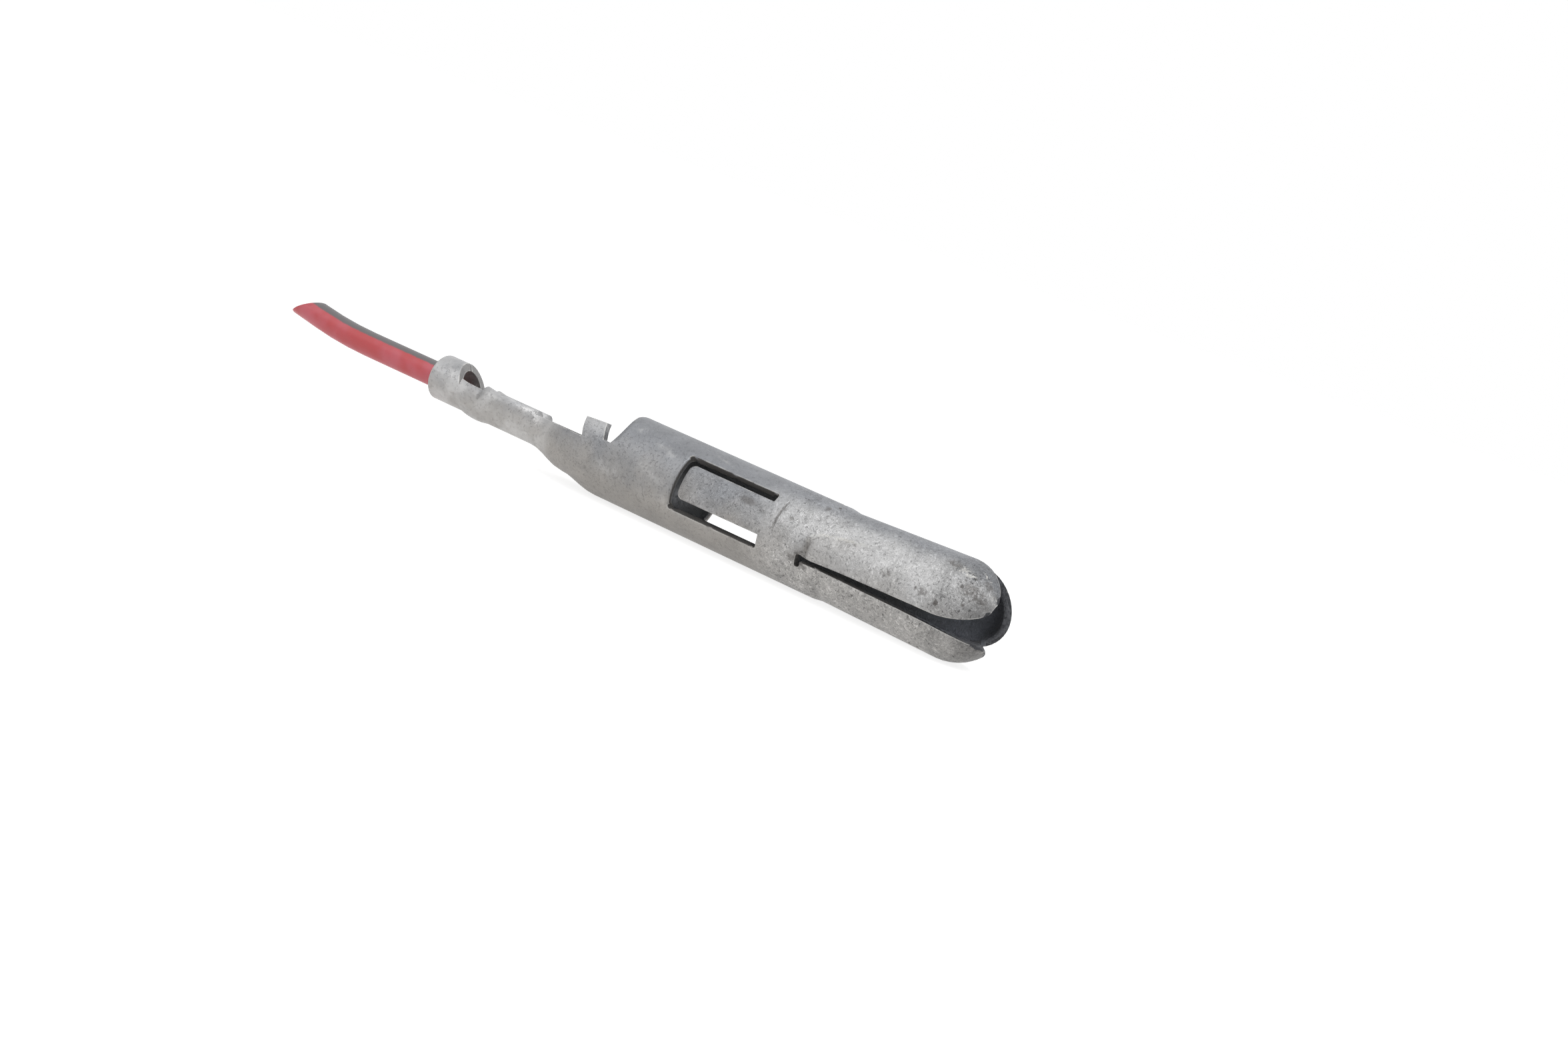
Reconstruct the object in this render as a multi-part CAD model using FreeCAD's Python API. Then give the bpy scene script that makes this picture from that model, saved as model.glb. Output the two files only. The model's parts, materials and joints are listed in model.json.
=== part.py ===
import FreeCAD, Part

import math
import os

# A stamped and rolled crimp contact on the cut-off end of a thin wire, in millimetres.
# It is worked out with its axis along X, the three tines at +X and the seam upwards,
# and every piece is turned about X at the end into the way the contact lies on a table.
# The origin is on the axis, at the square rear edge of the barrel.

# The strip
sheet = 0.20                # thickness of the stamped strip
seam_gap = 0.05             # between the two edges that meet along the top

# The barrel and the three tines
barrel_radius = 1.30        # outside of the rolled barrel
barrel_length = 7.10        # from its square rear edge to the step
step_drop = 0.04            # how much thinner the tines start
step_run = 0.28             # length of the slope at the step
tine_length = 3.95          # from the step to where the tines stand widest
near_flare = 1.42           # outside of each tine where it stands widest
lower_flare = 1.33
rear_flare = 1.36
nose_radius = 1.42          # rounding of the nose, seen from the side
nose_angle = 57.7           # degrees of that rounding, up to the tips
tine_turn = -3.7            # degrees, how far the slots stand off the seam

# The slots between the tines
slot_start = 0.28           # how far behind the step the slots begin
slot_root_width = 0.20
slot_front_width = 0.44     # at the widest place of the tines
relief_length = 0.40        # cross slot that ends each slot
relief_width = 0.17
relief_offset = 0.06
relief_corner = 0.07
spoon_length = 1.60         # the stretch over which a tine's end is rounded

# The two locking lances, on the left and right of the barrel
window_start = 2.42         # from the rear edge of the barrel
window_length = 3.03
window_corner = 0.10
near_window = 86.8          # degrees from the seam to its middle
near_window_half = 37.7     # degrees from its middle to its edge
rear_window = 89.0
rear_window_half = 38.4
near_lance = 83.8
near_lance_half = 22.1
rear_lance = 83.0
rear_lance_half = 24.5
lance_rear_gap = 0.27
lance_lift = 0.03           # how far the free end stands out of the barrel
lance_corner = 0.18

# The open channel behind the barrel, with one stop ear on each wall
notch_top = 1.20            # over the axis, where the edge of the barrel starts to curve in
notch_height = 0.24         # over the axis, floor of the notch between ear and barrel
notch_width = 0.25
notch_relief = 0.12         # how far the edge of the barrel curves in
ear_lean = 0.24             # how far the front edge of the ear leans back
ear_length = 0.80
ear_height = 0.70           # over the axis
ear_fall = 0.05             # how much lower its top is at the rear
ear_slope = 0.30            # how far its rear edge leans in
channel_wall_height = 0.085
channel_length = 3.35
channel_straight = 0.60     # the stretch behind the barrel that stays as wide
floor_step = 1.94           # behind the barrel, where the floor's first rise ends
floor_first_rise = 0.22
channel_wrap = 76.0         # degrees over the horizontal, end of the walls before they are cut
channel_sections = 12

# The crimp on the bare strands
crimp_length = 2.00
crimp_bottom = 0.76         # under the axis
wing_rise = 0.095           # from the curled-in tips up to the round tops of the wings
bellmouth_length = 0.28
bellmouth_growth = 1.08     # how many times as large it is at its mouth

# The strip between the crimps, and the crimp on the insulation
link_length = 0.75
link_bottom = 0.80          # under the axis
link_front_wrap = 45.0      # degrees over the horizontal, end of its walls
link_middle_wrap = 28.0
link_rear_wrap = 17.0
grip_length = 1.15
grip_gap_angle = 8.0        # degrees between the two ends of the crimp
grip_lean = 0.45            # how far its front edge leans back at the top
grip_centre = -0.05

# The wire
wire_radius = 0.385
wire_centre = -0.08         # height of its axis where it is straight
wire_clearance = 0.095      # between the insulation and the crimp round it
strand_diameter = 0.127
strand_clearance = 0.009
strand_turn = 34.8          # degrees between two strands along the floor of the crimp
strand_spread = 1.7         # how far they fan out between the crimps, against halfway
strand_lead = 0.05          # straight stretch before and after the fan
fan_share = 0.6             # where along the fan it is widest
strip_back = 0.25           # the insulation ends this far inside its crimp
brush_length = 0.40         # the strands stand out of their crimp by this much
wire_straight = 3.10        # from the rear of the crimp to where the wire starts to bend
bend_radius = 16.0
bend_angle = 8.0            # degrees
wire_tail = 0.60            # straight stretch after the bend
cut_slant = 50.0            # degrees, slope of the cut end

# How it lies
rest_roll = 8.5             # degrees, its near side has rolled up this far

axis = FreeCAD.Vector(1, 0, 0)
across = FreeCAD.Vector(0, 1, 0)
origin = FreeCAD.Vector(0, 0, 0)
flare_x = barrel_length + tine_length
tip_x = flare_x + nose_radius * math.sin(math.radians(nose_angle))
tine_flares = (near_flare, lower_flare, rear_flare)
tine_pitch = 360.0 / len(tine_flares)
crimp_front = -channel_length
crimp_rear = crimp_front - crimp_length
grip_front = crimp_rear - link_length
grip_rear = grip_front - grip_length
bend_x = grip_rear - wire_straight
insulation_front = grip_front - strip_back
grip_radius = wire_radius + wire_clearance + sheet
strand_radius = strand_diameter / 2
strand_pitch = strand_diameter + strand_clearance
strand_ring = strand_pitch / 2 / math.sin(math.radians(strand_turn / 2))
cavity_radius = strand_ring + strand_radius + strand_clearance
crimp_half_width = cavity_radius + sheet
crimp_centre = crimp_half_width - crimp_bottom
far = 3 * barrel_radius     # past every surface, for cutting tools


def point(x, y, z):
    return FreeCAD.Vector(x, y, z)


def arc(start, middle, end):
    return Part.Arc(start, middle, end).toShape()


def line(start, end):
    return Part.LineSegment(start, end).toShape()


def face(edges):
    """Flat face inside a closed row of edges."""
    return Part.Face(Part.Wire(edges))


def polygon(points):
    """Flat face inside a closed outline of straight lines."""
    return Part.Face(Part.makePolygon(points + points[:1]))


def turned(shape, degrees):
    """A copy turned about the axis of the contact."""
    copy = shape.copy()
    copy.rotate(origin, axis, degrees)
    return copy


def revolved(profile, first, last):
    """Solid swept by a face of the XZ plane between two angles from the top."""
    return turned(profile, first).revolve(origin, axis, last - first)


def sector(x0, x1, r0, r1, first, last):
    corners = [point(x0, 0, r0), point(x1, 0, r0), point(x1, 0, r1), point(x0, 0, r1)]
    return revolved(polygon(corners), first, last)


def eased(start, end, x):
    """Soft rise from 0 to 1 between two places."""
    share = (x - start) / (end - start)
    if share <= 0:
        return 0
    if share >= 1:
        return 1
    return share * share * (3 - 2 * share)


def radial_edges(solid, x):
    """Edges of a sector that run straight outwards at one place along the axis."""
    found = []
    for edge in solid.Edges:
        ends = [vertex.Point for vertex in edge.Vertexes]
        if len(ends) != 2 or any(abs(end.x - x) > 1e-6 for end in ends):
            continue
        reach = abs(math.hypot(ends[0].y, ends[0].z) - math.hypot(ends[1].y, ends[1].z))
        if reach > 0.9 * edge.Length:
            found.append(edge)
    return found


def tine(flare_radius):
    """One third of the tube in front of the barrel: step, tine and nose."""
    centre = point(flare_x, 0, flare_radius - nose_radius)
    full = math.radians(nose_angle)

    def nose(radius, angle):
        return centre + point(radius * math.sin(angle), 0, radius * math.cos(angle))

    thickness = point(0, 0, sheet)
    inner_radius = nose_radius - sheet
    start = point(barrel_length, 0, barrel_radius)
    step = point(barrel_length + step_run, 0, barrel_radius - step_drop)
    outside = nose(nose_radius, 0)
    inside = nose(inner_radius, 0)
    tip = nose(nose_radius, full)
    inner_tip = nose(inner_radius, full)
    edges = [line(start, step), line(step, outside),
             arc(outside, nose(nose_radius, full / 2), tip), line(tip, inner_tip),
             arc(inner_tip, nose(inner_radius, full / 2), inside), line(inside, step - thickness),
             line(step - thickness, start - thickness), line(start - thickness, start)]
    return revolved(face(edges), -tine_pitch / 2, tine_pitch / 2)


def tine_slot():
    """Cutter for one slot, with its relief hole and the rounding of the tines' ends."""
    root_x = barrel_length - slot_start
    root = slot_root_width / 2
    spoon_x = tip_x - spoon_length
    spoon_half = root + (slot_front_width / 2 - root) * (spoon_x - root_x) / (flare_x - root_x)
    tip_radius = min(tine_flares) - nose_radius * (1 - math.cos(math.radians(nose_angle)))
    reach = tip_radius * math.sin(math.radians(tine_pitch / 2))
    ellipse = Part.Ellipse(point(tip_x, reach, 0), point(spoon_x, spoon_half, 0), point(spoon_x, reach, 0))
    rounding = Part.ArcOfEllipse(ellipse, 0, math.pi / 2).toShape()
    front = tip_x + sheet
    edges = [line(point(root_x, -root, 0), point(root_x, root, 0)),
             line(point(root_x, root, 0), point(spoon_x, spoon_half, 0)), rounding,
             line(point(tip_x, reach, 0), point(front, reach, 0)),
             line(point(front, reach, 0), point(front, -reach, 0)),
             line(point(front, -reach, 0), point(tip_x, -reach, 0)), rounding.mirror(origin, across),
             line(point(spoon_x, -spoon_half, 0), point(root_x, -root, 0))]
    slot = face(edges).extrude(point(0, 0, far))
    corner = point(root_x - relief_width / 2, -relief_length / 2 - relief_offset, 0)
    relief = Part.makeBox(relief_width, relief_length, far, corner)
    upright = [edge for edge in relief.Edges if edge.Length > far / 2]
    return slot.fuse(relief.makeFillet(relief_corner, upright))


def window(half_angle):
    """Cutter for one window, centred on the top."""
    end = window_start + window_length
    cutter = sector(window_start, end, barrel_radius / 2, far, -half_angle, half_angle)
    return cutter.makeFillet(window_corner, radial_edges(cutter, window_start) + radial_edges(cutter, end))


def lance(half_angle):
    """Locking lance, rooted at the front of its window, its free end to the rear."""
    root = window_start + window_length
    rear = window_start + lance_rear_gap
    lifted = barrel_radius + lance_lift
    profile = [point(root, 0, barrel_radius - sheet), point(root, 0, barrel_radius),
               point(rear, 0, lifted), point(rear, 0, lifted - sheet)]
    tongue = revolved(polygon(profile), -half_angle, half_angle)
    return tongue.makeFillet(lance_corner, radial_edges(tongue, rear))


def trough(x, radius, bottom, wrap):
    """Outline of the bent strip at one place: round and open at the top."""
    centre = radius - bottom
    angle = math.radians(wrap)

    def end(side, r):
        return point(x, side * r * math.cos(angle), centre + r * math.sin(angle))

    inner = radius - sheet
    outside = arc(end(1, radius), point(x, 0, centre - radius), end(-1, radius))
    inside = arc(end(-1, inner), point(x, 0, centre - inner), end(1, inner))
    return Part.Wire([outside, line(end(-1, radius), end(-1, inner)), inside,
                      line(end(1, inner), end(1, radius))])


def channel():
    """Open channel that narrows and rises from the barrel to the crimp."""
    narrowing = barrel_radius - crimp_half_width
    last_rise = barrel_radius - crimp_bottom - floor_first_rise
    sections = []
    for number in range(channel_sections + 1):
        back = channel_length * number / channel_sections
        radius = barrel_radius - narrowing * eased(channel_straight, channel_length, back)
        rise = (floor_first_rise * eased(channel_straight, floor_step, back)
                + last_rise * eased(floor_step, channel_length, back))
        sections.append(trough(-back, radius, barrel_radius - rise, channel_wrap))
    return Part.makeLoft(sections, True, True)


def side_outline():
    """Cutter that leaves the channel's walls, the ears and the notches as seen from the side."""
    ear_front = -notch_width - ear_lean
    ear_rear = ear_front - ear_length
    notch_middle = point(notch_relief, 0, (notch_top + notch_height) / 2)
    edges = [line(point(0, 0, far), point(0, 0, notch_top)),
             arc(point(0, 0, notch_top), notch_middle, point(0, 0, notch_height))]
    corners = [point(0, 0, notch_height), point(-notch_width, 0, notch_height),
               point(ear_front, 0, ear_height), point(ear_rear, 0, ear_height - ear_fall),
               point(ear_rear + ear_slope, 0, channel_wall_height),
               point(crimp_front, 0, channel_wall_height), point(crimp_front, 0, far), point(0, 0, far)]
    for start, end in zip(corners, corners[1:]):
        edges.append(line(start, end))
    outline = face(edges)
    outline.translate(-far * across)
    return outline.extrude(2 * far * across)


def upper_strand():
    """Place of an upper strand in the crimp, from the middle of its cavity."""
    turn = math.radians(strand_turn)
    side = strand_pitch / 2
    rise = math.sqrt(strand_pitch ** 2 - (strand_ring * math.sin(turn) - side) ** 2)
    return side, rise - strand_ring * math.cos(turn)


def crimp_section(x, growth):
    """Outline of the strip rolled over the strands, its two wings curled in to the middle."""
    gap = strand_clearance
    width = crimp_half_width
    low = crimp_centre
    hump = (width - gap) / 2
    tip = (cavity_radius - gap) / 2
    middle = (cavity_radius + gap) / 2
    strand_y, strand_z = upper_strand()
    reach = tip + strand_radius + strand_clearance
    tip_z = low + strand_z + math.sqrt(reach ** 2 - (middle - strand_y) ** 2)
    hump_z = tip_z + wing_rise

    def place(y, z):
        return point(x, y * growth, low + (z - low) * growth)

    edges = [arc(place(-width, low), place(0, low - width), place(width, low)),
             line(place(width, low), place(width, hump_z)),
             arc(place(width, hump_z), place((width + gap) / 2, hump_z + hump), place(gap, hump_z)),
             line(place(gap, hump_z), place(gap, tip_z)),
             arc(place(gap, tip_z), place(middle, tip_z - tip), place(cavity_radius, tip_z)),
             line(place(cavity_radius, tip_z), place(cavity_radius, low)),
             arc(place(cavity_radius, low), place(0, low - cavity_radius), place(-cavity_radius, low)),
             line(place(-cavity_radius, low), place(-cavity_radius, tip_z)),
             arc(place(-cavity_radius, tip_z), place(-middle, tip_z - tip), place(-gap, tip_z)),
             line(place(-gap, tip_z), place(-gap, hump_z)),
             arc(place(-gap, hump_z), place(-(width + gap) / 2, hump_z + hump), place(-width, hump_z)),
             line(place(-width, hump_z), place(-width, low))]
    return Part.Wire(edges)


def crimp():
    """Rolled crimp on the bare strands, with a bellmouth at its rear."""
    mouth_end = crimp_rear + bellmouth_length
    rolled = Part.Face(crimp_section(mouth_end, 1)).extrude((crimp_front - mouth_end) * axis)
    mouth = Part.makeLoft([crimp_section(crimp_rear, bellmouth_growth), crimp_section(mouth_end, 1)],
                          True, True)
    return rolled.fuse(mouth)


def link():
    """Low trough between the two crimps."""
    mouth_radius = crimp_half_width * bellmouth_growth
    middle = (crimp_rear + grip_front) / 2
    sections = [trough(crimp_rear, mouth_radius, mouth_radius - crimp_centre, link_front_wrap),
                trough(middle, (mouth_radius + grip_radius) / 2, link_bottom, link_middle_wrap),
                trough(grip_front, grip_radius, grip_radius - grip_centre, link_rear_wrap)]
    return Part.makeLoft(sections, True, False)


def grip():
    """Crimp round the insulation: a ring whose ends nearly meet on the top, its front cut slanting."""
    half = grip_gap_angle / 2
    ring = sector(grip_rear, grip_front, grip_radius - sheet, grip_radius, half, 360 - half)
    corners = [point(grip_front, -far, 0), point(grip_front - grip_lean, -far, grip_radius),
               point(grip_front, -far, grip_radius)]
    ring = ring.cut(polygon(corners).extrude(2 * far * across))
    ring.translate(point(0, 0, grip_centre))
    return ring


def contact():
    """The whole contact, one folded strip."""
    front = sector(0, barrel_length, barrel_radius - sheet, barrel_radius, 0, 360)
    for number, flare in enumerate(tine_flares):
        front = front.fuse(turned(tine(flare), tine_turn + tine_pitch * (number + 0.5)))
    for number in range(len(tine_flares)):
        front = front.cut(turned(tine_slot(), tine_turn + tine_pitch * number))
    front = front.cut(Part.makeBox(barrel_length, seam_gap, far, point(0, -seam_gap / 2, 0)))
    front = front.cut(turned(window(near_window_half), near_window))
    front = front.cut(turned(window(rear_window_half), -rear_window))
    front = front.fuse(turned(lance(near_lance_half), near_lance))
    front = front.fuse(turned(lance(rear_lance_half), -rear_lance))
    body = front.fuse(channel()).cut(side_outline())
    return body.multiFuse([crimp(), link(), grip()]).removeSplitter()


def along_wire(start, profile):
    """Solid swept by a face across the wire, from a place along it to past its cut end."""
    centre = point(bend_x, 0, wire_centre + bend_radius)
    bend_start = profile.copy()
    bend_start.translate((bend_x - start) * axis)
    bend_end = bend_start.copy()
    bend_end.rotate(centre, across, bend_angle)
    run = profile.extrude((bend_x - start) * axis)
    bend = bend_start.revolve(centre, across, bend_angle)
    tail = bend_end.extrude(wire_direction() * (wire_tail + wire_radius))
    return run.multiFuse([bend, tail]).removeSplitter()


def wire_direction():
    """Direction of the wire after its bend."""
    turn = math.radians(bend_angle)
    return point(-math.cos(turn), 0, math.sin(turn))


def cut_end():
    """Cutter for the slanted end of the wire."""
    turn = math.radians(bend_angle)
    bend_end = point(bend_x - bend_radius * math.sin(turn), 0,
                     wire_centre + bend_radius * (1 - math.cos(turn)))
    block = Part.makeBox(far, far, far, point(-far, -far / 2, -far / 2))
    block.rotate(origin, across, bend_angle + cut_slant)
    block.translate(bend_end + wire_direction() * wire_tail)
    return block


def disc(x, y, z, radius):
    return Part.Face(Part.Wire(Part.makeCircle(radius, point(x, y, z), axis)))


def floor_place(number):
    """Place of a strand on the floor of the crimp, counted from the lowest."""
    angle = math.radians(strand_turn * number)
    return strand_ring * math.sin(angle), -strand_ring * math.cos(angle)


def strand_places():
    """Each strand's place in the insulation and in the crimp, from the middle of each."""
    in_wire = [(0, 0)]
    for number in range(6):
        angle = math.radians(60 * number)
        in_wire.append((strand_pitch * math.cos(angle), strand_pitch * math.sin(angle)))
    upper_y, upper_z = upper_strand()
    in_crimp = [floor_place(0), floor_place(2), (upper_y, upper_z), (-upper_y, upper_z),
                floor_place(-2), floor_place(-1), floor_place(1)]
    return zip(in_wire, in_crimp)


def strands():
    """One solid for each strand."""
    bars = []
    for (wire_y, wire_z), (crimp_y, crimp_z) in strand_places():
        start = point(insulation_front, wire_y, wire_centre + wire_z)
        in_crimp = point(0, crimp_y, crimp_centre + crimp_z)
        fan_start = start + strand_lead * axis
        fan_end = in_crimp + (crimp_rear - strand_lead) * axis
        widest = point(fan_start.x + fan_share * (fan_end.x - fan_start.x),
                       strand_spread * (wire_y + crimp_y) / 2, (start.z + in_crimp.z) / 2)
        places = [start, fan_start, widest, fan_end, in_crimp + (crimp_front + brush_length) * axis]
        path = Part.Wire([line(first, last) for first, last in zip(places, places[1:])])
        circle = Part.Wire(Part.makeCircle(strand_radius, start, axis))
        bare = path.makePipeShell([circle], True, False, 2)
        covered = along_wire(insulation_front, disc(start.x, start.y, start.z, strand_radius))
        bars.append(bare.fuse(covered).removeSplitter().cut(cut_end()))
    return bars


def insulation():
    """Sheath of the wire, round the seven strands."""
    bore = strand_pitch + strand_radius + strand_clearance
    ring = disc(insulation_front, 0, wire_centre, wire_radius).cut(
        disc(insulation_front, 0, wire_centre, bore))
    return along_wire(insulation_front, ring.Faces[0]).cut(cut_end())


pieces = {"contact": contact(), "wire_insulation": insulation()}
for number, bar in enumerate(strands()):
    pieces["strand_%d" % (number + 1)] = bar

os.makedirs("parts", exist_ok=True)
for name, piece in pieces.items():
    lying = turned(piece.Solids[0], -rest_roll)
    lying.exportStep("parts/%s.step" % name)
    print(name, len(piece.Solids), piece.isValid(), round(piece.Volume, 4))
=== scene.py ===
import bpy
import json
import math
import bmesh
from mathutils import Matrix, Vector

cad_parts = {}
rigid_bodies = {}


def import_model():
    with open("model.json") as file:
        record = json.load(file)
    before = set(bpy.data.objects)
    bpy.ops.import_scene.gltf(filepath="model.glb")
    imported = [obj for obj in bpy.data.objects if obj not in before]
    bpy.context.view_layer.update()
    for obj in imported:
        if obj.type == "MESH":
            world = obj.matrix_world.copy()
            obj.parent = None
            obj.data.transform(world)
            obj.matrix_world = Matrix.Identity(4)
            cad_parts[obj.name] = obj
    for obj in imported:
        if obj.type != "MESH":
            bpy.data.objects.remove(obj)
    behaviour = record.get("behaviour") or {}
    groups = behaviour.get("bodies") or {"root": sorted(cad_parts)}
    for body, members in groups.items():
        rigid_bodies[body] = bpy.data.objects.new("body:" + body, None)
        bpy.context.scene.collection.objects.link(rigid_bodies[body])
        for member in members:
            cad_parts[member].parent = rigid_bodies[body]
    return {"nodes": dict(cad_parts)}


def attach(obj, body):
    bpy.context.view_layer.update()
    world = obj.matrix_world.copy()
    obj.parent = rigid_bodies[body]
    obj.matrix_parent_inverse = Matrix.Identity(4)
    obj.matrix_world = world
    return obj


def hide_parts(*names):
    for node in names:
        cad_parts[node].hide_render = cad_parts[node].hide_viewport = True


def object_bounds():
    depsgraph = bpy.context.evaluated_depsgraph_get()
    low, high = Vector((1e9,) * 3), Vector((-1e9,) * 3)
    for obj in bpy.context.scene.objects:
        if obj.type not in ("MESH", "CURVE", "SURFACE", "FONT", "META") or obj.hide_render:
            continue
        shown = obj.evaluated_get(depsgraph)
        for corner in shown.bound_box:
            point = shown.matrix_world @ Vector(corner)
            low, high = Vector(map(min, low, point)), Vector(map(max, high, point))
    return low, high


for thing in list(bpy.data.objects):
    bpy.data.objects.remove(thing, do_unlink=True)

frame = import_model()
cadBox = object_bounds()
print("frame loaded")


class Value:
    # a socket that Python's operators work on
    def __init__(self, finish, socket):
        self.finish = finish
        self.socket = socket

    def sibling(self, name):
        return Value(self.finish, self.socket.node.outputs[name])

    def __add__(self, other):
        return self.finish.maths("ADD", self, other)

    def __radd__(self, other):
        return self.finish.maths("ADD", other, self)

    def __sub__(self, other):
        return self.finish.maths("SUBTRACT", self, other)

    def __rsub__(self, other):
        return self.finish.maths("SUBTRACT", other, self)

    def __mul__(self, other):
        return self.finish.maths("MULTIPLY", self, other)

    def __rmul__(self, other):
        return self.finish.maths("MULTIPLY", other, self)

    def __truediv__(self, other):
        return self.finish.maths("DIVIDE", self, other)

    def __rtruediv__(self, other):
        return self.finish.maths("DIVIDE", other, self)

    def __pow__(self, other):
        return self.finish.maths("POWER", self, other)

    def __abs__(self):
        return self.finish.maths("ABSOLUTE", self)


class Finish:
    # one material, with its nodes made in short steps
    def __init__(self, name):
        self.material = bpy.data.materials.new(name)
        self.material.use_nodes = True
        self.tree = self.material.node_tree
        self.tree.nodes.clear()

    def node(self, kind, settings=None, entries=None, output=0):
        made = self.tree.nodes.new(kind)
        for name, setting in (settings or {}).items():
            setattr(made, name, setting)
        for name, entry in (entries or {}).items():
            if isinstance(entry, Value):
                self.tree.links.new(entry.socket, made.inputs[name])
            else:
                made.inputs[name].default_value = entry
        return Value(self, made.outputs[output] if made.outputs else None)

    def maths(self, operation, *entries):
        return self.node("ShaderNodeMath", {"operation": operation}, dict(enumerate(entries)))

    def vector(self, operation, entries, output=0):
        return self.node("ShaderNodeVectorMath", {"operation": operation}, entries, output)

    def ramp(self, value, low, high):
        # soft rise from 0 at low to 1 at high
        entries = {"Value": value, "From Min": low, "From Max": high}
        return self.node("ShaderNodeMapRange", {"interpolation_type": "SMOOTHSTEP"}, entries)

    def band(self, value, start, end, soft):
        # 1 between start and end
        return self.ramp(value, start - soft, start + soft) * self.ramp(value, end + soft, end - soft)

    def noise(self, place, scale, detail=2.0, roughness=0.5, distortion=0.0):
        entries = {"Vector": place, "Scale": scale, "Detail": detail, "Roughness": roughness,
                   "Distortion": distortion}
        return self.node("ShaderNodeTexNoise", {}, entries)

    def mix(self, share, first, second, blend="MIX"):
        settings = {"data_type": "RGBA", "blend_type": blend}
        return self.node("ShaderNodeMix", settings, {0: share, 6: first, 7: second}, 2)

    def patch(self, x, arc, centre, size, edge=0.25):
        # 1 inside an oval on the unrolled sheet
        along = (x - centre[0]) / size[0]
        around = (arc - centre[1]) / size[1]
        distance = (along * along + around * around) ** 0.5
        return self.ramp(distance, 1 + edge, 1 - edge)

    def finishWith(self, entries):
        shader = self.node("ShaderNodeBsdfPrincipled", {}, entries)
        self.node("ShaderNodeOutputMaterial", {}, {"Surface": shader})
        return self.material


contactValues = {
    "roll": 8.5,                             # degrees, as the contact lies
    "radius": 1.30,                          # mm, outside of the barrel
    # the cool and warm greys are painted reflection, cool along the top and warm along the bottom
    "coolReflectionAbove": (0.245, 0.252, 0.268, 1),    # along the top
    "warmReflectionBelow": (0.330, 0.312, 0.292, 1),    # along the bottom
    # pale tin of the crimps and streaks, also a painted highlight band in front
    "paleTinAndSheen": (0.62, 0.615, 0.61, 1),
    # the inside greys are painted shade, lighter in the hollow of the front tines; the front cut colour also
    # darkens their ends as painted shade
    "insideGrey": (0.200, 0.205, 0.215, 1),
    "frontInside": (0.270, 0.285, 0.325, 1),
    "cutGrey": (0.150, 0.143, 0.137, 1),
    "frontCutAndShade": (0.060, 0.062, 0.068, 1),
    # pale of scraped tin at the tips, also painted highlights along the edges and the tine's rim
    "wornTinAndHighlight": (0.66, 0.65, 0.62, 1),
    # brown of the spots and stains, also painted shade in the crease and at the slot's root
    "brownSpotsAndShade": (0.10, 0.09, 0.083, 1),
    "metallic": 0.55,
    "roughness": 0.46,
    "bumpHeight": 0.000012,                  # metres
    # pale streaks on the rear of the barrel: place along, mm round, half sizes
    "streaks": (((1.75, 1.34), (0.42, 0.12)), ((1.62, 2.10), (0.46, 0.13)), ((3.30, 0.78), (0.30, 0.07)),
                ((0.30, 2.55), (0.40, 0.14)), ((-0.95, 1.80), (0.16, 0.34)), ((2.60, 2.75), (0.36, 0.12)),
                ((0.55, 1.02), (0.14, 0.12))),
    "paleTips": (((11.29, 1.00), (0.30, 0.14)), ((12.30, 1.02), (0.24, 0.16)), ((11.80, 0.70), (0.20, 0.06))),
    "brownTips": (((11.79, 1.45), (0.34, 0.22)), ((12.50, 1.63), (0.22, 0.20)), ((11.95, 0.88), (0.16, 0.12)),
                  ((10.60, 1.95), (0.16, 0.10)), ((9.40, 1.90), (0.12, 0.09)), ((10.90, 0.95), (0.24, 0.10)),
                  ((8.05, 1.60), (0.30, 0.07)), ((6.55, 2.55), (0.10, 0.10)), ((7.05, 2.72), (0.12, 0.08))),
}


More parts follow.
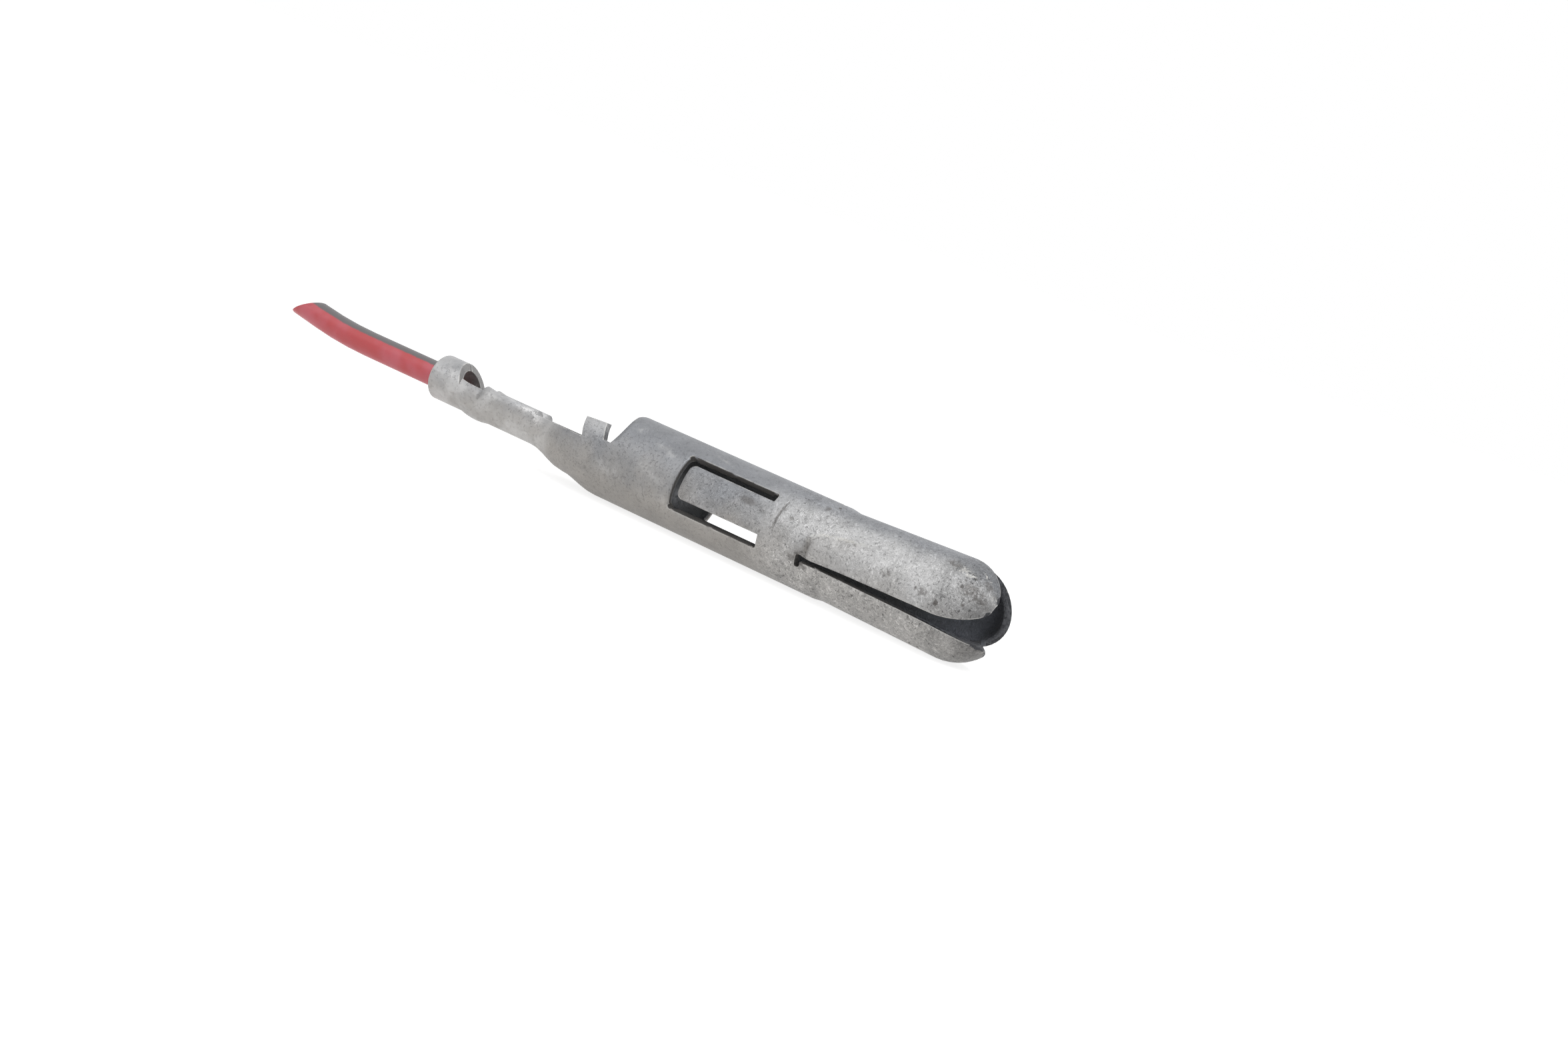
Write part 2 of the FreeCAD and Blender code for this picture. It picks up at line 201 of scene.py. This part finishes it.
def contactFinish():
    values = contactValues
    f = Finish("dullTin")
    coordinates = f.node("ShaderNodeTexCoord", {}, {}, "Object")
    inMillimetres = f.vector("SCALE", {0: coordinates, "Scale": 1000.0})
    turn = {"rotation_type": "X_AXIS"}
    angle = math.radians(values["roll"])
    place = f.node("ShaderNodeVectorRotate", turn, {"Vector": inMillimetres, "Angle": angle})
    normal = f.node("ShaderNodeVectorRotate", turn, {"Vector": coordinates.sibling("Normal"), "Angle": angle})
    x = f.node("ShaderNodeSeparateXYZ", {}, {"Vector": place})
    y = x.sibling("Y")
    z = x.sibling("Z")
    radius = (y * y + z * z) ** 0.5
    arc = f.maths("ARCTAN2", 0 - y, z) * values["radius"]     # mm from the seam, towards the near side
    normalX = f.node("ShaderNodeSeparateXYZ", {}, {"Vector": normal})
    facing = (normalX.sibling("Y") * y + normalX.sibling("Z") * z) / (radius + 0.001)

    # where things are
    tube = f.ramp(x, -0.35, -0.15)
    front = f.ramp(x, 4.4, 6.6)
    crimps = f.ramp(x, -1.8, -3.2)
    outside = f.ramp(facing, -0.25, 0.05)
    cut = f.ramp(abs(facing), 0.42, 0.30) * tube
    side = abs(arc)

    # painted reflection, cool above and warm below; lighter in front and on the crimps
    cloud = f.noise(place, 0.9, 3.0, 0.55)
    low = f.ramp(side + (cloud - 0.5) * 1.6, 1.3, 3.1)
    colour = f.mix(low, values["coolReflectionAbove"], values["warmReflectionBelow"])
    # lighter tin in front, with a painted highlight band along the middle of the side
    shifted = side + (cloud - 0.5) * 0.6
    paleFrontAndSheen = front * f.ramp(shifted, 0.60, 1.35) * (0.68 - 0.30 * f.ramp(shifted, 1.6, 2.3))
    tongue = f.band(x, 2.75, 5.6, 0.12) * f.band(arc, 1.45, 2.45, 0.1)
    patchy = f.ramp(f.noise(place, 1.35, 3.0, 0.55), 0.38, 0.60)
    pale = f.maths("MAXIMUM", paleFrontAndSheen, crimps * (0.24 + 0.34 * patchy))
    pale = f.maths("MAXIMUM", pale, f.band(x, -1.45, -0.35, 0.1) * f.ramp(side, 2.0, 1.4) * 0.45)
    torn = (f.noise(place, 4.2, 4.0, 0.65) - 0.5) * 2.2
    for centre, size in values["streaks"]:
        streak = f.patch(x, arc - (x - centre[0]) * 0.25 + torn * 0.10, centre, size, 0.8)
        pale = f.maths("MAXIMUM", pale, streak * f.ramp(torn, -0.35, 0.25) * 0.30)
    colour = f.mix(pale, colour, values["paleTinAndSheen"])

    # blotches and fine worm-like mottling, strongest in front
    tip = f.ramp(x + (cloud - 0.5) * 0.8, 10.5, 11.3)
    lower = f.ramp(side, 2.4, 2.8) * front
    rough = 0.22 + 0.62 * f.maths("MAXIMUM", front, tongue * 0.8) + 0.5 * f.maths("MAXIMUM", tip, lower)
    rough = rough * (1 - 0.75 * crimps) + 0.12 * f.ramp(x, 5.2, 6.2) * f.ramp(x, 7.6, 6.8)
    blotch = f.noise(place, 2.6, 4.0, 0.62, 0.6)
    fine = f.noise(place, 6.0, 3.0, 0.6, 1.2)
    worms = f.ramp(abs(fine - 0.52), 0.05, 0.0)
    flakes = f.ramp(f.noise(place, 9.0, 4.0, 0.72, 0.4), 0.50, 0.62) * rough
    pits = f.ramp(f.noise(place, 13.0, 3.0, 0.65, 0.8), 0.43, 0.33)
    speckle = f.noise(place, 21.0, 2.0, 0.7) - 0.5
    clouds = (f.noise(place, 1.15, 3.0, 0.6, 0.5) - 0.5) * (0.55 + 0.45 * tongue)
    tone = 1 + clouds + (blotch - 0.5) * 0.9 * rough + (worms - 0.3) * 0.34 * rough - pits * 0.42 * rough
    tone = tone + flakes * 0.30 + speckle * 0.42 * (rough + 0.15)
    tone = tone * (1 - tip * 0.26 - tip * f.ramp(x, 11.5, 12.1) * f.ramp(side, 1.0, 1.5) * 0.30)
    grey = f.node("ShaderNodeCombineColor", {}, {0: tone, 1: tone, 2: tone})
    colour = f.mix(1.0, colour, grey, "MULTIPLY")

    # dark spots, more of them near the tips
    wander = f.noise(place, 3.1, 2.0)
    cells = f.node("ShaderNodeTexVoronoi", {}, {"Vector": place, "Scale": 2.7})
    chosen = f.node("ShaderNodeSeparateColor", {}, {0: cells.sibling("Color")})
    many = 0.80 - 0.28 * f.ramp(x, 8.6, 11.4)
    ragged = f.noise(place, 8.0, 3.0, 0.7) - 0.5
    spots = f.ramp(cells + (wander - 0.5) * 0.25 + ragged * 0.45, 0.19, 0.09)
    spots = spots * f.ramp(chosen, many, many + 0.03)
    spots = spots * f.ramp(x, 5.0, 6.6) * outside
    colour = f.mix(spots * 0.75, colour, values["brownSpotsAndShade"])
    for centre, size in values["brownTips"]:
        stain = f.patch(x + torn * 0.16, arc + torn * 0.14, centre, size, 0.5)
        stain = stain * f.ramp(ragged, -0.12, 0.06)
        colour = f.mix(stain * 0.60, colour, values["brownSpotsAndShade"])
    for centre, size in values["paleTips"]:
        scrape = f.patch(x + torn * 0.16, arc + torn * 0.12, centre, size, 0.4)
        scrape = scrape * f.ramp(fine + ragged * 0.8, 0.46, 0.56)
        colour = f.mix(scrape * 0.62, colour, values["wornTinAndHighlight"])

    # marks and painted shade: a smudge in front of the lance, painted shade along the crease there and in the
    # hollow at the slot's root, and two small dark spots
    smudge = f.patch(x, arc, (4.78, 1.68), (0.24, 0.10), 0.6)
    creaseLine = x - 5.80 - 0.10 * ((arc - 1.75) * (arc - 1.75)) + (wander - 0.5) * 0.06
    crease = f.ramp(abs(creaseLine), 0.045, 0.01) * f.band(arc, 1.28, 2.05, 0.1)
    rootHollowShade = f.patch(x + torn * 0.05, arc + torn * 0.05, (6.96, 2.16), (0.12, 0.26), 0.6)
    # painted shade around the slot's root
    root = f.patch(x + torn * 0.10, arc + torn * 0.12, (6.84, 2.56), (0.17, 0.24), 0.5)
    rootHollowShade = f.maths("MAXIMUM", rootHollowShade, root * 1.15)
    dark = f.maths("MAXIMUM", smudge * 0.55, crease * 0.6)
    dark = f.maths("MAXIMUM", dark, rootHollowShade * 0.7)
    dark = f.maths("MAXIMUM", dark, f.patch(x, arc, (6.85, 0.86), (0.07, 0.09), 0.5) * 0.6)
    dark = f.maths("MAXIMUM", dark, f.patch(x, arc, (6.19, 1.64), (0.06, 0.06), 0.5) * 0.5)
    colour = f.mix(dark, colour, values["brownSpotsAndShade"])

    # the raised start of the near tine, with a painted highlight along its rim and painted warm shade within
    # it
    tail = f.maths("MINIMUM", x - 7.45, 0.0)
    middle = 2.14 - 0.16 * (x - 7.1)
    padDistance = ((tail / 0.62) ** 2 + ((arc - middle) / 0.44) ** 2) ** 0.5
    padRimHighlight = f.ramp(abs(padDistance - 0.98 + torn * 0.06), 0.20, 0.02) * f.ramp(x, 8.9, 8.0)
    padRimHighlight = padRimHighlight * f.ramp(x, 6.8, 7.0) * f.ramp(arc, 2.45, 2.25) * f.ramp(ragged, -0.16, 0.04)
    padShade = f.ramp(padDistance, 1.0, 0.75) * f.ramp(x, 9.2, 8.0) * 0.22
    colour = f.mix(padShade, colour, values["warmReflectionBelow"])
    colour = f.mix(padRimHighlight * 0.70, colour, values["wornTinAndHighlight"])

    # cut edges: dark faces with a painted highlight along their rim; the inside gets painted shade and is
    # smooth
    rounded = f.node("ShaderNodeBevel", {"samples": 6}, {"Radius": 0.00005})
    flat = f.node("ShaderNodeNewGeometry", {}, {}, "Normal")
    same = f.vector("DOT_PRODUCT", {0: rounded, 1: flat}, "Value")
    patchyRim = f.ramp(f.noise(place, 4.0, 3.0) + 0.12 * f.ramp(x, 9.5, 11.0), 0.32, 0.55)
    edgeHighlight = f.ramp(same, 0.995, 0.93) * outside * patchyRim
    colour = f.mix(cut, colour, f.mix(f.ramp(x, 9.5, 11.0), values["cutGrey"], values["frontCutAndShade"]))
    crimpEnd = f.ramp(abs(normalX), 0.55, 0.8) * f.ramp(x, -5.0, -5.5) * f.ramp(x, -6.9, -6.5)
    colour = f.mix(crimpEnd * 0.6, colour, values["cutGrey"])
    colour = f.mix(edgeHighlight * 0.75, colour, values["wornTinAndHighlight"])
    # painted light and shade inside: a lighter sheen in the hollow of the front tines, darkest towards their
    # ends
    insideSheen = f.ramp(x, 8.5, 11.0) * f.ramp(x, 12.35, 11.6) * (0.5 + f.noise(place, 1.7, 3.0) * 0.7)
    shade = f.mix(insideSheen, values["insideGrey"], values["frontInside"])
    shade = f.mix(f.ramp(x, 11.2, 11.9) * 0.8, shade, values["frontCutAndShade"])
    colour = f.mix((1 - outside) * tube * (1 - cut), colour, shade)

    height = blotch * 0.6 * rough + worms * 0.35 * rough - pits * 0.8 - spots * 0.8 - crease * 2.0
    height = height + flakes * 0.9 + speckle * 0.8 * rough - smudge * 0.8 + f.noise(place, 3.3, 2.0) * 1.2
    bump = f.node("ShaderNodeBump", {}, {"Strength": 1.0, "Distance": values["bumpHeight"],
                                         "Height": height, "Normal": rounded})
    roughness = values["roughness"] + (blotch - 0.5) * 0.25 + spots * 0.2 + cut * 0.15
    return f.finishWith({"Base Color": colour, "Metallic": values["metallic"],
                         "Roughness": roughness, "Normal": bump})


wireValues = {
    "roll": 8.5,
    "height": -0.08,                         # mm, of its axis over the barrel's
    "bendStart": -10.35,                     # mm, where it starts to rise
    "bendRadius": 16.0,
    "red": (0.52, 0.100, 0.125, 1),
    "deepRed": (0.48, 0.060, 0.068, 1),
    "stripe": (0.095, 0.120, 0.122, 1),
    "stripeMiddle": 0.36,                    # radians from the top, towards the near side
    "stripeHalf": 0.58,
    "roughness": 0.42,
}


def wireFinish():
    values = wireValues
    f = Finish("redInsulation")
    coordinates = f.node("ShaderNodeTexCoord", {}, {}, "Object")
    inMillimetres = f.vector("SCALE", {0: coordinates, "Scale": 1000.0})
    turn = {"rotation_type": "X_AXIS"}
    entries = {"Vector": inMillimetres, "Angle": math.radians(values["roll"])}
    place = f.node("ShaderNodeVectorRotate", turn, entries)
    x = f.node("ShaderNodeSeparateXYZ", {}, {"Vector": place})
    back = f.maths("MINIMUM", x - values["bendStart"], 0.0)
    rise = back * back / (2 * values["bendRadius"]) + values["height"]
    angle = f.maths("ARCTAN2", 0 - x.sibling("Y"), x.sibling("Z") - rise)
    grain = f.noise(place, 5.0, 3.0, 0.6)
    soft = f.noise(place, 1.1, 2.0)
    fromStripe = abs(angle - values["stripeMiddle"]) + (grain - 0.5) * 0.16
    stripe = f.ramp(fromStripe, values["stripeHalf"] + 0.09, values["stripeHalf"] - 0.09)
    colour = f.mix(f.ramp(soft, 0.35, 0.65), values["red"], values["deepRed"])
    colour = f.mix(stripe * 0.92, colour, values["stripe"])
    tone = 0.93 + grain * 0.14
    grey = f.node("ShaderNodeCombineColor", {}, {0: tone, 1: tone, 2: tone})
    colour = f.mix(1.0, colour, grey, "MULTIPLY")
    height = grain * 0.7 + f.noise(place, 22.0, 2.0) * 0.25
    rounded = f.node("ShaderNodeBevel", {"samples": 4}, {"Radius": 0.00002})
    bump = f.node("ShaderNodeBump", {}, {"Strength": 1.0, "Distance": 0.000006, "Height": height,
                                         "Normal": rounded})
    roughness = values["roughness"] + (grain - 0.5) * 0.2
    return f.finishWith({"Base Color": colour, "Roughness": roughness, "Normal": bump})


strandValues = {
    "tin": (0.60, 0.585, 0.56, 1),
    "copper": (0.50, 0.27, 0.17, 1),
    "roughness": 0.36,
}


def strandFinish():
    values = strandValues
    f = Finish("tinnedCopper")
    coordinates = f.node("ShaderNodeTexCoord", {}, {}, "Object")
    place = f.vector("SCALE", {0: coordinates, "Scale": 1000.0})
    drawn = f.node("ShaderNodeMapping", {}, {"Vector": place, "Scale": (0.6, 9.0, 9.0)})
    lines = f.noise(drawn, 1.6, 3.0, 0.6)
    thin = f.ramp(f.noise(place, 3.0, 3.0), 0.58, 0.72)
    colour = f.mix(thin * 0.5, values["tin"], values["copper"])
    tone = 0.82 + lines * 0.34
    grey = f.node("ShaderNodeCombineColor", {}, {0: tone, 1: tone, 2: tone})
    colour = f.mix(1.0, colour, grey, "MULTIPLY")
    bump = f.node("ShaderNodeBump", {}, {"Strength": 1.0, "Distance": 0.000003, "Height": lines})
    roughness = values["roughness"] + (lines - 0.5) * 0.2
    return f.finishWith({"Base Color": colour, "Metallic": 0.9, "Roughness": roughness, "Normal": bump})


finishes = {"contact": contactFinish(), "wire_insulation": wireFinish()}
strandMaterial = strandFinish()
for nodeName in frame["nodes"]:
    bpy.data.objects[nodeName].material_slots[0].material = finishes.get(nodeName, strandMaterial)
print("finishes on the pieces")


def mergedCopy(nodeName):
    shape = bmesh.new()
    shape.from_mesh(frame["nodes"][nodeName].data)
    bmesh.ops.remove_doubles(shape, verts=shape.verts, dist=0.0000002)
    return shape


def showInstead(shape, name, nodeName, sharpFrom):
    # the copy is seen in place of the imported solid
    mesh = bpy.data.meshes.new(name)
    shape.to_mesh(mesh)
    shape.free()
    mesh.polygons.foreach_set("use_smooth", [True] * len(mesh.polygons))
    mesh.set_sharp_from_angle(angle=math.radians(sharpFrom))
    mesh.materials.append(finishes[nodeName])
    piece = bpy.data.objects.new(name, mesh)
    bpy.context.scene.collection.objects.link(piece)
    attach(piece, "root")
    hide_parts(nodeName)


stripValues = {
    "roll": 8.5,
    "refinedFrom": -0.3,                     # mm along the axis
    "roundFrom": -0.05,                      # mm along the axis, new points lie round from here on
    "rounds": 40,                            # at most
    "longestEdge": 0.23,
    # degrees from the seam over the far side, first as packed and then as the photo shows it
    "window": ((0, 0), (30, 30), (50.6, 65.0), (58.5, 73.5), (107.5, 107.5), (360, 360)),
    "windowReach": (1.7, 2.3, 5.6, 6.2),     # mm along the axis: from and to where it is moved
    "farSlot": ((0, 0), (16, 16), (117.5, 126.8), (130.0, 139.3), (225, 225), (360, 360)),
    "farSlotReach": (6.2, 6.6, 90.0, 91.0),
    "nearSlot": ((0, 0), (170, 170), (237.8, 245.4), (250.5, 254.2), (300, 300), (360, 360)),
    "nearSlotReach": (6.2, 6.9, 90.0, 91.0),
    "padHeight": 0.075,                      # mm, raised start of the near tine
    "recessDepth": 0.100,
    "farEarFrom": -0.80,                     # mm along the axis, the far ear is shorter behind this
    "farEarShorter": 0.45,
    "sharpFrom": 32.0,
}


def placedBetween(pairs, value):
    for (first, firstNew), (second, secondNew) in zip(pairs, pairs[1:]):
        if value <= second:
            return firstNew + (secondNew - firstNew) * (value - first) / (second - first)
    return value


def smoothStep(value, low, high):
    share = min(max((value - low) / (high - low), 0.0), 1.0)
    return share * share * (3 - 2 * share)


def shareAlong(reach, x):
    return smoothStep(x, reach[0], reach[1]) * (1 - smoothStep(x, reach[2], reach[3]))


def seamAngle(vertex, roll):
    # degrees from the seam over the far side
    return (math.degrees(math.atan2(vertex.co.y, vertex.co.z)) - roll) % 360


def refine(shape, values):
    # long edges are split, and their new points stay on the turned surfaces
    layer = shape.verts.layers.float.new("radius")
    for vertex in shape.verts:
        vertex[layer] = math.hypot(vertex.co.y, vertex.co.z)
    for count in range(values["rounds"]):
        lengths = []
        for edge in shape.edges:
            first, second = edge.verts
            if max(first.co.x, second.co.x) * 1000 < values["refinedFrom"]:
                continue
            length = edge.calc_length() * 1000
            if length > values["longestEdge"]:
                lengths.append((length, edge.index, edge))
        # the longest first, and one edge of a triangle at a time
        lengths.sort(key=lambda entry: (-entry[0], entry[1]))
        taken = set()
        chosen = []
        for length, number, edge in lengths:
            if taken.isdisjoint(edge.link_faces):
                taken.update(edge.link_faces)
                chosen.append(edge)
        if not chosen:
            break
        bmesh.ops.subdivide_edges(shape, edges=chosen, cuts=1, use_single_edge=True)
        shape.edges.index_update()
    for vertex in shape.verts:
        flat = math.hypot(vertex.co.y, vertex.co.z)
        if vertex.co.x * 1000 > values["roundFrom"] and flat > 0:
            vertex.co.y *= vertex[layer] / flat
            vertex.co.z *= vertex[layer] / flat
    print("contact refined to", len(shape.faces), "triangles")


def contactAsSeen():
    # both lower slots and the far window's upper edge a few degrees off, as the dark slit shows
    values = stripValues
    shape = mergedCopy("contact")
    refine(shape, values)
    shape.normal_update()
    for vertex in shape.verts:
        x = vertex.co.x * 1000
        angle = seamAngle(vertex, values["roll"])
        radial = Vector((0, vertex.co.y, vertex.co.z)).normalized()
        if vertex.normal.dot(radial) > 0.3 and 6 < x < 10:
            arc = math.radians(360 - placedBetween(values["nearSlot"], angle)) * 1.3
            tail = min(x - 7.45, 0.0) / 0.50
            across = (arc - 2.10 + 0.16 * (x - 7.1)) / 0.46
            pad = (1 - smoothStep(math.hypot(tail, across), 0.78, 1.10)) * (1 - smoothStep(x, 7.9, 9.6))
            recess = math.hypot((x - 6.93) / 0.16, (arc - 2.20) / 0.30)
            raised = values["padHeight"] * pad - values["recessDepth"] * (1 - smoothStep(recess, 0.3, 1.2))
            vertex.co += radial * raised / 1000
        if -1.4 < x < values["farEarFrom"] and angle < 90:
            back = (x - values["farEarFrom"]) * (1 - smoothStep(angle, 62, 80)) * values["farEarShorter"]
            vertex.co.x -= back / 1000
        turn = 0.0
        for name in ("window", "farSlot"):
            turn += (placedBetween(values[name], angle) - angle) * shareAlong(values[name + "Reach"], x)
        growth = 0.8 + 0.4 * smoothStep(x, 7.0, 11.0)
        near = placedBetween(values["nearSlot"], angle) - angle
        turn += near * growth * shareAlong(values["nearSlotReach"], x)
        if turn:
            vertex.co = Matrix.Rotation(math.radians(-turn), 3, "X") @ vertex.co
    showInstead(shape, "contact_strip", "contact", values["sharpFrom"])


sheathValues = {
    "movedFrom": -6.5,                       # mm along the axis, what is in front of it moves
    "movedBack": 0.50,
    "sharpFrom": 40.0,
}


def sheathAsSeen():
    # the insulation ends deeper in its crimp, out of sight
    values = sheathValues
    shape = mergedCopy("wire_insulation")
    for vertex in shape.verts:
        if vertex.co.x * 1000 > values["movedFrom"]:
            vertex.co.x -= values["movedBack"] / 1000
    showInstead(shape, "wire_sheath", "wire_insulation", values["sharpFrom"])


contactAsSeen()
sheathAsSeen()
print("contact and sheath as the photo shows them")


lightValues = {
    "worldStrength": 0.55,                   # for what isn't seen straight or in gloss
    "key": {"azimuth": 60.0, "elevation": 55.0, "distance": 0.30, "size": 0.16, "power": 0.30},
    "fill": {"azimuth": -35.0, "elevation": 35.0, "distance": 0.32, "size": 0.22, "power": 0.16},
    "top": {"azimuth": 170.0, "elevation": 70.0, "distance": 0.30, "size": 0.25, "power": 0.16},
    "middle": (0.0, 0.0, 0.0),
}


def fromAngles(azimuth, elevation):
    a = math.radians(azimuth)
    e = math.radians(elevation)
    return Vector((math.sin(a) * math.cos(e), -math.cos(a) * math.cos(e), math.sin(e)))


def aimedTurn(direction, roll=0.0):
    return direction.to_track_quat("Z", "Y").to_matrix().to_4x4() @ Matrix.Rotation(math.radians(roll), 4, "Z")


def addLamp(name, values):
    lamp = bpy.data.lights.new(name, "AREA")
    lamp.shape = "DISK"
    lamp.size = values["size"]
    lamp.energy = values["power"]
    holder = bpy.data.objects.new(name, lamp)
    direction = fromAngles(values["azimuth"], values["elevation"])
    holder.matrix_world = Matrix.Translation(direction * values["distance"]) @ aimedTurn(direction)
    bpy.context.scene.collection.objects.link(holder)


def whiteToView(tree, plain, seen):
    # the plain shader for diffuse rays, the seen one for the camera, gloss and glass
    path = tree.nodes.new("ShaderNodeLightPath")
    either = tree.nodes.new("ShaderNodeMath")
    either.operation = "MAXIMUM"
    tree.links.new(path.outputs["Is Camera Ray"], either.inputs[0])
    tree.links.new(path.outputs["Is Glossy Ray"], either.inputs[1])
    clear = tree.nodes.new("ShaderNodeMath")
    clear.operation = "MAXIMUM"
    tree.links.new(either.outputs[0], clear.inputs[0])
    tree.links.new(path.outputs["Is Transmission Ray"], clear.inputs[1])
    mixed = tree.nodes.new("ShaderNodeMixShader")
    tree.links.new(clear.outputs[0], mixed.inputs[0])
    tree.links.new(plain, mixed.inputs[1])
    tree.links.new(seen, mixed.inputs[2])
    return mixed.outputs[0]


def studio():
    world = bpy.data.worlds.new("studio")
    bpy.context.scene.world = world
    world.use_nodes = True
    tree = world.node_tree
    tree.nodes.clear()
    plain = tree.nodes.new("ShaderNodeBackground")
    plain.inputs["Strength"].default_value = lightValues["worldStrength"]
    plain.inputs["Color"].default_value = (1, 1, 1, 1)
    seen = tree.nodes.new("ShaderNodeBackground")
    seen.inputs["Color"].default_value = (1, 1, 1, 1)
    output = tree.nodes.new("ShaderNodeOutputWorld")
    tree.links.new(whiteToView(tree, plain.outputs[0], seen.outputs[0]), output.inputs["Surface"])
    for name in ("key", "fill", "top"):
        addLamp(name, lightValues[name])


def addFloor():
    lowest = cadBox[0][2]
    shape = bmesh.new()
    bmesh.ops.create_grid(shape, x_segments=1, y_segments=1, size=1.5)
    bmesh.ops.translate(shape, verts=shape.verts, vec=(0, 0, lowest))
    mesh = bpy.data.meshes.new("floor")
    shape.to_mesh(mesh)
    shape.free()
    floor = bpy.data.objects.new("floor", mesh)
    bpy.context.scene.collection.objects.link(floor)
    material = bpy.data.materials.new("palePaper")
    material.use_nodes = True
    tree = material.node_tree
    tree.nodes.clear()
    paper = tree.nodes.new("ShaderNodeBsdfDiffuse")
    paper.inputs["Color"].default_value = (0.85, 0.85, 0.85, 1)
    faint = tree.nodes.new("ShaderNodeBsdfDiffuse")
    faint.inputs["Color"].default_value = (0.40, 0.40, 0.40, 1)
    glow = tree.nodes.new("ShaderNodeEmission")
    glow.inputs["Strength"].default_value = 0.80
    together = tree.nodes.new("ShaderNodeAddShader")
    tree.links.new(faint.outputs[0], together.inputs[0])
    tree.links.new(glow.outputs[0], together.inputs[1])
    output = tree.nodes.new("ShaderNodeOutputMaterial")
    tree.links.new(whiteToView(tree, paper.outputs[0], together.outputs[0]), output.inputs["Surface"])
    floor.data.materials.append(material)


cameraValues = {
    "azimuth": 30.021,                       # degrees from the near side towards the tines
    "elevation": 7.983,
    "roll": 19.933,
    "distance": 0.054,
    "aim": (0.008706, -0.005817, 0.001152),
    "lens": 52.04,
}


def addCamera():
    values = cameraValues
    camera = bpy.data.cameras.new("camera")
    camera.lens = values["lens"]
    camera.sensor_width = 36.0
    camera.clip_start = 0.001
    camera.clip_end = 10.0
    holder = bpy.data.objects.new("camera", camera)
    direction = fromAngles(values["azimuth"], values["elevation"])
    stand = Vector(values["aim"]) + direction * values["distance"]
    holder.matrix_world = Matrix.Translation(stand) @ aimedTurn(direction, values["roll"])
    bpy.context.scene.collection.objects.link(holder)
    bpy.context.scene.camera = holder


studio()
addFloor()
addCamera()
bpy.context.scene.view_settings.view_transform = "Standard"
print("floor, lamps and camera placed")
